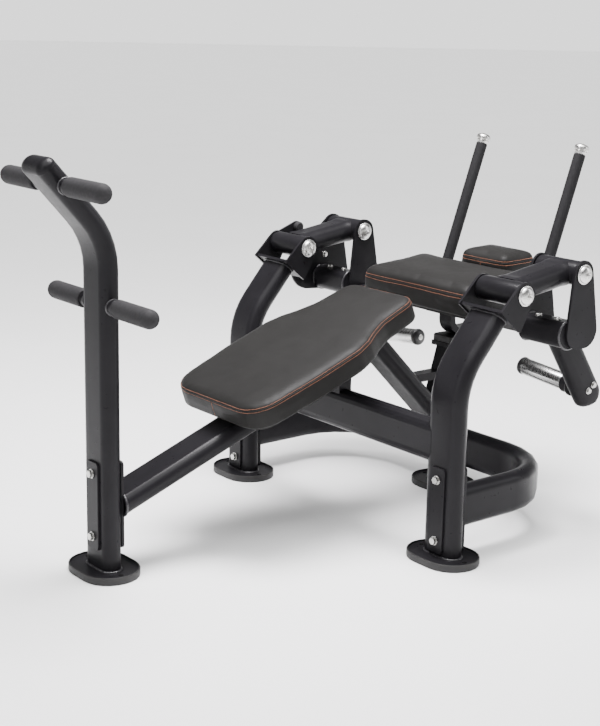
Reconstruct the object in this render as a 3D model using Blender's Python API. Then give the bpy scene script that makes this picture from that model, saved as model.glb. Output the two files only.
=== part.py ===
"""Roman chair gym bench: a foot post with four grips, an inclined bench, two side towers, and a
hinged back cradle on two swinging links, with weight horns and hand levers.

Metres, +Z up. The foot post stands at the -X end, the head end is +X, right is -Y, left is +Y.
Design positions are measured from the foot post's centre line; MID_X moves them to the middle."""

import math

import bmesh
import bpy
from mathutils import Matrix, Vector

GAP = 0.0003  # between pieces that touch
MID_X = 0.68478  # middle of the whole length, from the foot post

# Frame tube: flat-sided oval
TUBE_WIDE = 0.118
TUBE_THIN = 0.055
TUBE_WALL = 0.003
PLATE = 0.008

# Feet
FOOT_X = 0.149
FOOT_Y = 0.206
FOOT_TOP = 0.016
SHOE_BASE = 0.004
SHOE_WALL = 0.004
SHOE_LIP = 0.0205

# Foot post and its grips
POST_CORNER_Z = 0.879
POST_TILT = math.radians(42.0)
POST_TOP_RUN = 0.2466
BEND_RADIUS = 0.20
GRIP_RADIUS = 0.0245
GRIP_INNER_Y = 0.078
GRIP_DOME_Y = 0.2224
PEG_RADIUS = 0.015
LOWER_PEG = (0.0, 0.7126)
UPPER_PEG = (-0.127, 1.020)
POST_BOLTS_Z = (0.105, 0.274)

# Bench beam, rear diagonal and loop
BEAM_START = (0.0358, 0.185)
RIDGE = (0.895, 0.5065)
DIAGONAL_END = (1.225, 0.1765)
LOOP_Z = 0.14125
LOOP_X = 1.231
REAR_FOOT_X = 1.225
CROSS_TUBE_Z = 0.3227

# Side towers
TOWER_X = 0.784
SIDE_Y = 0.4538
TOWER_LEAN = math.radians(40.0)
TOWER_TOP = (0.913, 0.655)
TOWER_BOLTS_Z = (0.060, 0.230)

# Pivots: the links swing about the first and carry the cradle on the second
LINK_PIVOT = (0.966, 0.717)
CRADLE_PIVOT = (1.194, 0.752)
CHEEK_OUT = 0.081  # outer face of a bracket wall or hanging plate, from SIDE_Y
PIN_RADIUS = 0.012
NECK_WIDE = 0.108
NECK_THIN = 0.055
LINK_HUB_RADIUS = 0.034
CAP_RADIUS = 0.0275

# Cradle
SIDE_TUBE = (1.155, 0.588)
SIDE_TUBE_HALF_X = 0.039
SIDE_TUBE_HALF_Z = 0.036
SIDE_TUBE_CORNER = 0.022
ARM_POINT = (1.245, 0.509)
ARM_WIDE = 0.090
ARM_THIN = 0.055
HORN_RADIUS = 0.025
HANDLE_Y = 0.203
CRADLE_BAR_Z = 0.573

# Pads
BENCH_PAD_SEAM = (0.3306, 0.4106)
BENCH_PAD_ANGLE = math.radians(20.9)
BENCH_PAD_LENGTH = 0.665
BENCH_PAD_CORNER = 0.074
BENCH_PAD_THICK = 0.060
BOARD_THICK = 0.010


def clear_scene():
    for obj in list(bpy.data.objects):
        bpy.data.objects.remove(obj, do_unlink=True)


def make_material(name, colour, metallic, roughness):
    material = bpy.data.materials.new(name)
    material.use_nodes = True
    shader = material.node_tree.nodes["Principled BSDF"]
    shader.inputs["Base Color"].default_value = (*colour, 1.0)
    shader.inputs["Metallic"].default_value = metallic
    shader.inputs["Roughness"].default_value = roughness
    return material


MATERIAL_LOOKS = {
    "black_frame": ((0.020, 0.019, 0.022), 0.3, 0.38),
    "black_plastic": ((0.015, 0.015, 0.016), 0.0, 0.45),
    "grip_rubber": ((0.028, 0.027, 0.028), 0.0, 0.80),
    "shoe_rubber": ((0.020, 0.020, 0.021), 0.0, 0.70),
    "chrome_plate": ((0.78, 0.78, 0.79), 1.0, 0.08),
    "zinc_steel": ((0.62, 0.61, 0.58), 1.0, 0.30),
    "pad_cover": ((0.022, 0.020, 0.020), 0.0, 0.55),
    "pad_board": ((0.016, 0.015, 0.015), 0.0, 0.60),
}
NODE_LOOKS = {}


def build(name, rings, look, loop=False, origin=None, caps=True):
    """One closed mesh skinned over rings of equal length. A one-point ring is a pole."""
    shape = bmesh.new()
    base = Vector(origin) if origin else Vector((0.0, 0.0, 0.0))
    rows = [[shape.verts.new(Vector(p) - base) for p in ring] for ring in rings]
    pairs = list(zip(rows, rows[1:]))
    if loop:
        pairs.append((rows[-1], rows[0]))
    for first, second in pairs:
        count = max(len(first), len(second))
        for i in range(count):
            j = (i + 1) % count
            corners = [first[i % len(first)], first[j % len(first)]]
            corners += [second[j % len(second)], second[i % len(second)]]
            face = list(dict.fromkeys(corners))
            shape.faces.new(face)
    if caps and not loop:
        for row in (rows[0], rows[-1]):
            if len(row) > 2:
                shape.faces.new(row)
    bmesh.ops.recalc_face_normals(shape, faces=shape.faces)
    mesh = bpy.data.meshes.new(name)
    shape.to_mesh(mesh)
    shape.free()
    obj = bpy.data.objects.new(name, mesh)
    obj.location = base - Vector((MID_X, 0.0, 0.0))
    bpy.context.scene.collection.objects.link(obj)
    NODE_LOOKS[name] = look
    return obj


def combine(target, tool, operation):
    """Applies a Boolean to the target's mesh and removes the tool."""
    bpy.context.view_layer.update()
    modifier = target.modifiers.new("join", "BOOLEAN")
    modifier.operation = operation
    modifier.solver = "EXACT"
    modifier.object = tool
    bpy.context.view_layer.update()
    graph = bpy.context.evaluated_depsgraph_get()
    mesh = bpy.data.meshes.new_from_object(target.evaluated_get(graph))
    target.modifiers.remove(modifier)
    target.data = mesh
    NODE_LOOKS.pop(tool.name, None)
    bpy.data.objects.remove(tool, do_unlink=True)
    return target


def join(target, *tools):
    for tool in tools:
        combine(target, tool, "UNION")
    return target


def cut(target, *tools):
    for tool in tools:
        combine(target, tool, "DIFFERENCE")
    return target


def xz(point, y=0.0):
    return Vector((point[0], y, point[1]))


def stadium(wide, high, corner=4):
    """A flat-sided oval about the origin; its ends are half circles along the longer size."""
    radius = min(wide, high) / 2
    run = abs(wide - high) / 2
    points = []
    for end in (0, 1):
        for step in range(2 * corner + 1):
            angle = -math.pi / 2 + math.pi * (end + step / (2 * corner))
            centre = run if end == 0 else -run
            along = centre + radius * math.cos(angle)
            across = radius * math.sin(angle)
            points.append((along, across) if wide >= high else (across, along))
    return points


def circle(radius, count=16):
    turns = [2 * math.pi * i / count for i in range(count)]
    return [(radius * math.cos(t), radius * math.sin(t)) for t in turns]


def rounded_path(corners, radius, steps=5):
    """The polyline with each inner corner replaced by an arc."""
    corners = [Vector(c) for c in corners]
    path = [corners[0]]
    for before, corner, after in zip(corners, corners[1:], corners[2:]):
        back = (before - corner).normalized()
        ahead = (after - corner).normalized()
        turn = math.pi - back.angle(ahead)
        reach = radius * math.tan(turn / 2)
        centre = corner + (back + ahead).normalized() * radius / math.cos(turn / 2)
        start = corner + back * reach - centre
        axis = start.cross(corner + ahead * reach - centre).normalized()
        for i in range(steps + 1):
            path.append(centre + Matrix.Rotation(turn * i / steps, 3, axis) @ start)
    path.append(corners[-1])
    return path


def sweep_rings(path, across, section, start_plane=None, end_plane=None):
    """Rings of the section along the path; its first coordinate runs along the fixed direction."""
    across = Vector(across).normalized()
    rings = []
    last = len(path) - 1
    for i, point in enumerate(path):
        arriving = (point - path[max(i - 1, 0)]).normalized()
        leaving = (path[min(i + 1, last)] - point).normalized()
        along = (arriving + leaving).normalized()
        lean = along.dot(arriving if i else leaving)
        normal = along.cross(across).normalized()
        ring = [point + across * a + normal * b / lean for a, b in section]
        plane = start_plane if i == 0 else end_plane if i == last else None
        if plane is not None:
            plane = Vector(plane)
            ring = [q - along * (q - point).dot(plane) / along.dot(plane) for q in ring]
        rings.append(ring)
    return rings


def bar(name, path, across, section, look, origin=None, **planes):
    return build(name, sweep_rings(path, across, section, **planes), look, origin=origin)


def tube(name, path, across, wide, high, look, wall=TUBE_WALL, **planes):
    outer = sweep_rings(path, across, stadium(wide, high), **planes)
    bore = stadium(wide - 2 * wall, high - 2 * wall)
    inner = sweep_rings(path, across, bore, **planes)
    return build(name, outer + inner[::-1], look, loop=True)


def turned(name, profile, start, direction, look, origin=None, count=16):
    """A solid of revolution: profile pairs are (radius, distance along the direction)."""
    start = Vector(start)
    direction = Vector(direction).normalized()
    side = direction.orthogonal().normalized()
    other = direction.cross(side)
    rings = []
    for radius, distance in profile:
        middle = start + direction * distance
        if radius < 1e-6:
            rings.append([middle])
        else:
            rings.append([middle + side * a + other * b for a, b in circle(radius, count)])
    return build(name, rings, look, origin=origin)


def box(name, low, high, look, origin=None):
    (x0, y0, z0), (x1, y1, z1) = low, high
    rings = [[(x0, y0, z), (x1, y0, z), (x1, y1, z), (x0, y1, z)] for z in (z0, z1)]
    return build(name, rings, look, origin=origin)


def dome(radius, start, height, steps=4):
    """Profile points of a shallow dome that closes on the axis."""
    turns = [math.pi / 2 * i / steps for i in range(steps + 1)]
    return [(radius * math.cos(t), start + height * math.sin(t)) for t in turns]


def hull(circles, count=32):
    """Convex outline round circles given as (x, z, radius)."""
    points = []
    for x, z, radius in circles:
        for a, b in circle(radius, count):
            points.append((round(x + a, 6), round(z + b, 6)))
    points = sorted(set(points))

    def half(ordered):
        chain = []
        for p in ordered:
            while len(chain) > 1:
                (ax, az), (bx, bz) = chain[-2], chain[-1]
                if (bx - ax) * (p[1] - az) - (bz - az) * (p[0] - ax) > 1e-9:
                    break
                chain.pop()
            chain.append(p)
        return chain[:-1]

    return half(points) + half(points[::-1])


def slab(name, outline, y0, y1, look, origin=None):
    """A plate with the given x-z outline between two y values."""
    rings = [[(x, y, z) for x, z in outline] for y in (y0, y1)]
    return build(name, rings, look, origin=origin)


def rounded_rectangle(half_a, half_b, radius, steps=4):
    points = []
    for quarter in range(4):
        sign_a = 1 if quarter in (0, 3) else -1
        sign_b = 1 if quarter < 2 else -1
        for i in range(steps + 1):
            turn = math.pi / 2 * (quarter + i / steps)
            a = sign_a * (half_a - radius) + radius * math.cos(turn)
            b = sign_b * (half_b - radius) + radius * math.sin(turn)
            points.append((a, b))
    return points


def upright_plate(name, x0, x1, y, half_y, z0, z1, look, radius=0.010):
    """A plate that faces along X, with rounded corners."""
    middle = (z0 + z1) / 2
    outline = rounded_rectangle(half_y, (z1 - z0) / 2, radius)
    rings = [[(x, y + a, middle + b) for a, b in outline] for x in (x0, x1)]
    return build(name, rings, look)


def grown(wide, high):
    return stadium(wide + 2 * GAP, high + 2 * GAP)


def foot_plate(name, x, y):
    rings = []
    for inset, z in ((0.0, SHOE_BASE + GAP), (0.0, FOOT_TOP)):
        outline = stadium(FOOT_X - 2 * inset, FOOT_Y - 2 * inset, 6)
        rings.append([(x + a, y + b, z) for a, b in outline])
    return build(name, rings, "black_frame")


def foot_shoe(name, x, y):
    outer = SHOE_WALL + GAP
    steps = (
        (outer, 0.0),
        (outer, SHOE_LIP - 0.001),
        (outer - 0.001, SHOE_LIP),
        (GAP, SHOE_LIP),
        (GAP, SHOE_BASE),
    )
    rings = []
    for growth, z in steps:
        outline = stadium(FOOT_X + 2 * growth, FOOT_Y + 2 * growth, 6)
        rings.append([(x + a, y + b, z) for a, b in outline])
    return build(name, rings, "shoe_rubber")


def hexagon(radius, count=12):
    """A hexagon drawn with twelve points, six of them half way along its sides."""
    points = []
    for i in range(count):
        reach = radius if i % 2 == 0 else radius * math.cos(math.pi / 6)
        turn = 2 * math.pi * i / count
        points.append((reach * math.cos(turn), reach * math.sin(turn)))
    return points


def through_bolt(name, y, z, front, back):
    """A hex bolt along X with a washer and a nut; front and back are the clamped faces."""
    head, nut, washer, shank = 0.0075, 0.010, 0.0025, 0.006
    front -= GAP
    back += GAP
    steps = (
        (hexagon(0.0098), front - washer - head),
        (hexagon(0.0104), front - washer - head + 0.001),
        (hexagon(0.0104), front - washer),
        (circle(0.0125, 12), front - washer),
        (circle(0.0125, 12), front),
        (circle(shank, 12), front),
        (circle(shank, 12), back),
        (circle(0.0125, 12), back),
        (circle(0.0125, 12), back + washer),
        (hexagon(0.0104), back + washer),
        (hexagon(0.0104), back + washer + nut),
        (circle(shank, 12), back + washer + nut),
        (circle(shank, 12), back + washer + nut + 0.005),
    )
    rings = [[(x, y + a, z + b) for a, b in outline] for outline, x in steps]
    return build(name, rings, "zinc_steel")


def bolt_hole(y, z, x0, x1):
    rings = [[(x, y + a, z + b) for a, b in circle(0.0064, 12)] for x in (x0, x1)]
    return build("hole", rings, "black_frame")


def drill(target, y, heights, x0, x1):
    for z in heights:
        cut(target, bolt_hole(y, z, x0, x1))


def pin_hole(point, y0, y1, radius=PIN_RADIUS + GAP):
    profile = [(0, 0), (radius, 0), (radius, y1 - y0), (0, y1 - y0)]
    return turned("hole", profile, xz(point, y0), (0, 1, 0), "black_frame")


def loop_path():
    corners = [(TOWER_X + TUBE_THIN / 2 + 0.004, -SIDE_Y), (LOOP_X, -SIDE_Y)]
    corners += [(LOOP_X, SIDE_Y), (TOWER_X + TUBE_THIN / 2 + 0.004, SIDE_Y)]
    return rounded_path([(x, y, LOOP_Z) for x, y in corners], BEND_RADIUS, 6)


def loop_cutter():
    section = grown(TUBE_WIDE, TUBE_THIN)
    return bar("cutter", loop_path(), (0, 0, 1), section, "black_frame")


def ridge_plane():
    beam = (xz(RIDGE) - xz(BEAM_START)).normalized()
    diagonal = (xz(DIAGONAL_END) - xz(RIDGE)).normalized()
    return beam, diagonal, (beam + diagonal).normalized()


def diagonal_cutter():
    path = [xz(RIDGE), xz(DIAGONAL_END)]
    return bar("cutter", path, (0, 1, 0), grown(TUBE_WIDE, TUBE_THIN), "black_frame")


def cross_cutter():
    path = [Vector((TOWER_X, y, CROSS_TUBE_Z)) for y in (-SIDE_Y, SIDE_Y)]
    return bar("cutter", path, (0, 0, 1), grown(TUBE_WIDE, TUBE_THIN), "black_frame")


def make_foot_post():
    top = (-math.sin(POST_TILT), math.cos(POST_TILT))
    end = Vector((top[0] * POST_TOP_RUN, 0, POST_CORNER_Z + top[1] * POST_TOP_RUN))
    corners = [(0, 0, 0.008), (0, 0, POST_CORNER_Z), end]
    path = rounded_path(corners, BEND_RADIUS)
    post = tube("foot_post", path, (0, 1, 0), TUBE_WIDE, TUBE_THIN, "black_frame")
    join(post, foot_plate("plate", 0.0, 0.0))
    for peg in (LOWER_PEG, UPPER_PEG):
        collar = GRIP_INNER_Y - 0.002
        reach = GRIP_DOME_Y - 0.012
        profile = [(0, -reach), (PEG_RADIUS, -reach), (PEG_RADIUS, -collar), (0.019, -collar)]
        profile += [(0.019, collar), (PEG_RADIUS, collar), (PEG_RADIUS, reach), (0, reach)]
        join(post, turned("peg", profile, xz(peg), (0, 1, 0), "black_frame"))
    drill(post, 0.0, POST_BOLTS_Z, -0.06, 0.06)
    foot_shoe("post_shoe", 0.0, 0.0)

    along = Vector((top[0], 0, top[1]))
    inside = (TUBE_WIDE - 2 * TUBE_WALL - 2 * GAP, TUBE_THIN - 2 * TUBE_WALL - 2 * GAP)
    steps = [(inside, -0.018), (inside, GAP), ((TUBE_WIDE, TUBE_THIN), GAP)]
    steps.append(((TUBE_WIDE, TUBE_THIN), 0.003))
    for i in range(1, 5):
        turn = math.pi / 2 * i / 5
        sizes = (TUBE_WIDE - 0.05 * (1 - math.cos(turn)), TUBE_THIN * (math.cos(turn) + 0.04))
        steps.append((sizes, 0.003 + 0.020 * math.sin(turn)))
    normal = along.cross(Vector((0, 1, 0)))
    rings = []
    for (wide, high), distance in steps:
        middle = end + along * distance
        rings.append([middle + Vector((0, a, 0)) + normal * b for a, b in stadium(wide, high)])
    build("post_end_cap", rings, "black_plastic")

    bore = PEG_RADIUS + GAP
    depth = GRIP_DOME_Y - 0.0115
    profile = [(0, depth), (bore, depth), (bore, GRIP_INNER_Y), (GRIP_RADIUS - 0.003, GRIP_INNER_Y)]
    profile += [(GRIP_RADIUS, GRIP_INNER_Y + 0.003)]
    profile += dome(GRIP_RADIUS, GRIP_DOME_Y, GRIP_RADIUS, 5)
    for level, peg in (("lower", LOWER_PEG), ("upper", UPPER_PEG)):
        for side, sign in (("right", -1), ("left", 1)):
            name = f"grip_{level}_{side}"
            turned(name, profile, xz(peg), (0, sign, 0), "grip_rubber")

    face = TUBE_THIN / 2 + GAP
    clamp = upright_plate(
        "post_clamp_plate", -face - 0.006, -face, 0.0, 0.0275, 0.070, 0.306, "black_frame"
    )
    drill(clamp, 0.0, POST_BOLTS_Z, -0.06, 0.06)
    for i, z in enumerate(POST_BOLTS_Z):
        through_bolt(f"post_bolt_{i + 1}", 0.0, z, -face - 0.006, face + PLATE)


def make_bench_beam():
    face = TUBE_THIN / 2 + GAP
    beam_way, _, plane = ridge_plane()
    start = xz(BEAM_START) - beam_way * 0.004
    end = xz(RIDGE) - plane * GAP / 2
    beam = tube(
        "bench_beam", [start, end], (0, 1, 0), TUBE_WIDE, TUBE_THIN, "black_frame",
        start_plane=(1, 0, 0), end_plane=plane,
    )
    flange = upright_plate("flange", face, face + PLATE, 0.0, 0.043, 0.070, 0.304, "black_frame")
    join(beam, flange)
    drill(beam, 0.0, POST_BOLTS_Z, 0.0, 0.06)
    saddle = box(
        "saddle", (TOWER_X - 0.022, -0.032, 0.350), (TOWER_X + 0.022, 0.032, 0.442), "black_frame"
    )
    cut(saddle, cross_cutter())
    join(beam, saddle)
    slope = Vector((math.cos(BENCH_PAD_ANGLE), 0, math.sin(BENCH_PAD_ANGLE)))
    below = Vector((math.sin(BENCH_PAD_ANGLE), 0, -math.cos(BENCH_PAD_ANGLE)))
    board_under = xz(BENCH_PAD_SEAM) + below * (BENCH_PAD_THICK + BOARD_THICK + 2 * GAP)
    for run in (0.15, 0.47):
        middle = board_under + slope * run
        outline = [(-0.04, 0.0), (0.04, 0.0), (0.04, 0.020), (-0.04, 0.020)]
        rings = []
        for y in (-0.085, 0.085):
            ring = [middle + slope * a + below * b for a, b in outline]
            rings.append([(p.x, y, p.z) for p in ring])
        join(beam, build("pad_mount", rings, "black_frame"))
    return beam


def make_towers():
    lean = Vector((math.sin(TOWER_LEAN), 0, math.cos(TOWER_LEAN)))
    run = (TOWER_TOP[0] - TOWER_X) / lean.x
    corner = TOWER_TOP[1] - run * lean.z
    face = TUBE_THIN / 2 + GAP
    for side, sign in (("right", -1), ("left", 1)):
        y = sign * SIDE_Y
        corners = [(TOWER_X, y, 0.008), (TOWER_X, y, corner), (TOWER_TOP[0], y, TOWER_TOP[1])]
        path = rounded_path(corners, BEND_RADIUS)
        tower = tube(f"tower_{side}", path, (0, 1, 0), TUBE_WIDE, TUBE_THIN, "black_frame")
        join(tower, foot_plate("plate", TOWER_X, y))
        drill(tower, y, TOWER_BOLTS_Z, TOWER_X - 0.06, TOWER_X + 0.06)
        foot_shoe(f"tower_shoe_{side}", TOWER_X, y)
        clamp = upright_plate(
            f"tower_clamp_plate_{side}", TOWER_X - face - 0.006, TOWER_X - face,
            y, 0.0275, 0.026, 0.264, "black_frame",
        )
        drill(clamp, y, TOWER_BOLTS_Z, TOWER_X - 0.06, TOWER_X + 0.06)
        for i, z in enumerate(TOWER_BOLTS_Z):
            name = f"tower_bolt_{side}_{i + 1}"
            through_bolt(name, y, z, TOWER_X - face - 0.006, TOWER_X + face + PLATE)
        make_bracket(side, sign, lean)

    reach = SIDE_Y - 0.032
    path = [Vector((TOWER_X, y, CROSS_TUBE_Z)) for y in (-reach, reach)]
    cross = tube("cross_tube", path, (0, 0, 1), TUBE_WIDE, TUBE_THIN, "black_frame")
    for sign in (-1, 1):
        middle = sign * (SIDE_Y - (TUBE_WIDE - TUBE_THIN) / 2)
        profile = [(0, 0), (TUBE_THIN / 2 + GAP, 0), (TUBE_THIN / 2 + GAP, 0.2), (0, 0.2)]
        start = (TOWER_X, middle, CROSS_TUBE_Z - 0.1)
        cut(cross, turned("cope", profile, start, (0, 0, 1), "black_frame", count=40))


def make_bracket(side, sign, lean):
    """The U bracket on a tower's top: a web across the tube end and two walls for the link pin."""
    y = sign * SIDE_Y
    down = Vector((lean.z, 0, -lean.x))
    base = xz(TOWER_TOP, y) + lean * GAP
    corners = [base + down * d + lean * t for d, t in ((-0.039, 0), (0.049, 0), (0.049, PLATE))]
    corners.append(base - down * 0.039 + lean * PLATE)
    front, rear = corners[0], corners[1]
    inner = CHEEK_OUT - PLATE / 2
    web = slab("web", [(p.x, p.z) for p in corners], y - inner, y + inner, "black_frame")
    wall_outline = hull([(*LINK_PIVOT, 0.036), (front.x, front.z, 0.004), (rear.x, rear.z, 0.004)])
    bracket = None
    for face in (-1, 1):
        inside = y + face * (CHEEK_OUT - PLATE)
        outside = y + face * CHEEK_OUT
        low, high = sorted((inside, outside))
        wall = slab(f"tower_bracket_{side}", wall_outline, low, high, "black_frame")
        if sign > 0 and face > 0:
            ear = hull([(*LINK_PIVOT, 0.030), (1.042, 0.757, 0.020)])
            join(wall, slab("ear", ear, low, high, "black_frame"))
        cut(wall, pin_hole(LINK_PIVOT, low - 0.02, high + 0.02))
        if bracket is None:
            bracket = join(wall, web)
        else:
            join(bracket, wall)
    bracket.name = f"tower_bracket_{side}"
    NODE_LOOKS[bracket.name] = "black_frame"


def make_rear_frame():
    loop = tube("rear_loop", loop_path(), (0, 0, 1), TUBE_WIDE, TUBE_THIN, "black_frame")
    face = TOWER_X + TUBE_THIN / 2 + GAP
    for sign in (-1, 1):
        y = sign * SIDE_Y
        join(loop, upright_plate("flange", face, face + PLATE, y, 0.043, 0.026, 0.264, "black_frame"))
        drill(loop, y, TOWER_BOLTS_Z, face - 0.02, face + 0.03)
    vent = [(0, 0), (0.010, 0), (0.010, 0.04), (0, 0.04)]
    cut(loop, turned("vent", vent, (LOOP_X, 0, 0.070), (0, 0, 1), "black_frame"))

    _, diagonal_way, plane = ridge_plane()
    path = [xz(RIDGE) + plane * GAP / 2, xz(DIAGONAL_END)]
    diagonal = tube(
        "diagonal_tube", path, (0, 1, 0), TUBE_WIDE, TUBE_THIN, "black_frame", start_plane=plane
    )
    cut(diagonal, loop_cutter())

    stub = [Vector((REAR_FOOT_X, 0, 0.008)), Vector((REAR_FOOT_X, 0, 0.10))]
    leg = tube("rear_leg", stub, (0, 1, 0), TUBE_WIDE, TUBE_THIN, "black_frame")
    join(leg, foot_plate("plate", REAR_FOOT_X, 0.0))
    cut(leg, loop_cutter())
    foot_shoe("rear_shoe", REAR_FOOT_X, 0.0)

    foot = Vector((1.157, 0, 0.245))
    head = Vector((1.218, 0, 0.452))
    section = [(a, b) for a, b in ((-0.025, -0.02), (0.025, -0.02), (0.025, 0.02), (-0.025, 0.02))]
    stop = bar("stop_post", [foot, head], (0, 1, 0), section, "black_frame", end_plane=(0, 0, 1))
    brace = box("brace", (1.04, -0.020, 0.354), (1.19, 0.020, 0.378), "black_frame")
    join(stop, brace)
    join(stop, box("stop_plate", (1.190, -0.042, 0.448), (1.270, 0.042, 0.4617), "black_frame"))
    cut(stop, diagonal_cutter())
    outline = rounded_rectangle(0.038, 0.040, 0.008)
    rings = [[(1.230 + a, b, z) for a, b in outline] for z in (0.462, 0.480)]
    rings.append([(1.230 + a * 0.95, b * 0.95, 0.483) for a, b in outline])
    build("stop_rubber", rings, "shoe_rubber")

    profile = [(0, 0), (0.013, 0), (0.016, 0.004), (0.016, 0.016), (0, 0.016)]
    start = (1.042, SIDE_Y + CHEEK_OUT - PLATE - 0.016 - GAP, 0.760)
    turned("bumper_knob", profile, start, (0, 1, 0), "grip_rubber", count=16)


def make_links():
    origin_low = Vector((LINK_PIVOT[0], 0, LINK_PIVOT[1]))
    origin_high = Vector((CRADLE_PIVOT[0], 0, CRADLE_PIVOT[1]))
    way = (origin_high - origin_low).normalized()
    length = (origin_high - origin_low).length
    across = Vector((0, 1, 0))
    normal = way.cross(across)
    reach = CHEEK_OUT - PLATE - 0.0015
    for side, sign in (("right", -1), ("left", 1)):
        y = sign * SIDE_Y
        origin = xz(LINK_PIVOT, y)
        hub = [(0, -reach), (LINK_HUB_RADIUS - 0.002, -reach), (LINK_HUB_RADIUS, 0.002 - reach)]
        hub += [(LINK_HUB_RADIUS, reach - 0.002), (LINK_HUB_RADIUS - 0.002, reach), (0, reach)]
        name = f"link_{side}"
        link = turned(name, hub, origin, (0, 1, 0), "black_frame", origin=origin, count=24)
        skin = []
        for s in (0.010, length - 0.010):
            middle = origin + way * s
            section = stadium(NECK_WIDE, NECK_THIN)
            skin.append([middle + across * a + normal * b for a, b in section])
        join(link, build("neck", skin, "black_frame", origin=origin))
        far_hub = turned("hub", hub, xz(CRADLE_PIVOT, y), (0, 1, 0), "black_frame", count=24)
        join(link, far_hub)
        for point in (LINK_PIVOT, CRADLE_PIVOT):
            cut(link, pin_hole(point, y - 0.1, y + 0.1))
        for label, point in (("link", LINK_PIVOT), ("cradle", CRADLE_PIVOT)):
            face = CHEEK_OUT + GAP
            half = [(CAP_RADIUS, face), (CAP_RADIUS, face + 0.003)]
            half += dome(CAP_RADIUS - 0.0035, face + 0.004, 0.0125, 3)
            profile = [(r, -s) for r, s in half[::-1]] + [(PIN_RADIUS, -face), (PIN_RADIUS, face)]
            profile += half
            pin_origin = xz(point, y)
            name = f"{label}_pin_{side}"
            turned(name, profile, pin_origin, (0, 1, 0), "chrome_plate", origin=pin_origin)


def make_cradle_sides():
    origin = xz(CRADLE_PIVOT)
    small = [(*CRADLE_PIVOT, 0.038), (1.184, 0.590, 0.045), (1.213, 0.592, 0.048)]
    large = small + [(1.094, 0.622, 0.070)]
    way = Vector((0.559, 0, -0.829)).normalized()
    across = way.cross(Vector((0, 1, 0)))
    for side, sign in (("right", -1), ("left", 1)):
        y = sign * SIDE_Y
        for label, face in (("inner", -sign), ("outer", sign)):
            low, high = sorted((y + face * (CHEEK_OUT - PLATE), y + face * CHEEK_OUT))
            outline = hull(large if sign > 0 and label == "outer" else small)
            name = f"cradle_plate_{label}_{side}"
            plate = slab(name, outline, low, high, "black_frame", origin=origin)
            cut(plate, pin_hole(CRADLE_PIVOT, low - 0.02, high + 0.02))

        reach = CHEEK_OUT - PLATE - GAP
        section = rounded_rectangle(SIDE_TUBE_HALF_X, SIDE_TUBE_HALF_Z, SIDE_TUBE_CORNER, 5)
        outline = [(SIDE_TUBE[0] + a, SIDE_TUBE[1] + b) for a, b in section]
        name = f"side_tube_{side}"
        slab(name, outline, y - reach, y + reach, "black_frame", origin=origin)

        start = xz(ARM_POINT, y) - way * 0.086
        finish = xz(ARM_POINT, y) + way * 0.1810
        corner = 0.024
        steps = [(start, ARM_WIDE)]
        for i in range(5):
            turn = math.pi / 2 * i / 4
            back = corner * (1 - math.sin(turn))
            steps.append((finish - way * back, ARM_WIDE - 2 * corner * (1 - math.cos(turn))))
        rings = []
        for middle, wide in steps:
            section = stadium(max(wide, ARM_THIN * 0.45), ARM_THIN)
            if wide < ARM_THIN:
                section = [(a * wide / ARM_THIN, b) for a, b in stadium(ARM_THIN + 1e-5, ARM_THIN)]
            rings.append([middle + across * a + Vector((0, b, 0)) for a, b in section])
        arm = build(f"arm_{side}", rings, "black_frame", origin=origin)
        half_x, half_z = SIDE_TUBE_HALF_X + GAP, SIDE_TUBE_HALF_Z + GAP
        section = rounded_rectangle(half_x, half_z, SIDE_TUBE_CORNER + GAP, 5)
        cope = [(SIDE_TUBE[0] + a, SIDE_TUBE[1] + b) for a, b in section]
        cut(arm, slab("cope", cope, y - 0.1, y + 0.1, "black_frame"))

        root = Vector((1.3175, sign * (SIDE_Y - ARM_THIN / 2 - 0.004), 0.3985))
        tip = Vector((1.3115, sign * 0.235, 0.4180))
        run = (tip - root).length
        horn = [(0, 0), (0.031, 0), (0.033, 0.002), (0.033, 0.010), (HORN_RADIUS + 0.004, 0.014)]
        horn += [(HORN_RADIUS + 0.004, 0.034), (HORN_RADIUS, 0.036), (HORN_RADIUS, run), (0, run)]
        turned(f"weight_horn_{side}", horn, root, tip - root, "zinc_steel", origin=origin, count=20)
        cap = [(0, run + GAP), (HORN_RADIUS + 0.0005, run + GAP), (HORN_RADIUS + 0.0005, run + 0.006)]
        cap += dome(HORN_RADIUS + 0.0005, run + 0.006, 0.006, 3)[1:]
        turned(f"horn_cap_{side}", cap, root, tip - root, "black_plastic", origin=origin, count=20)


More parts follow.
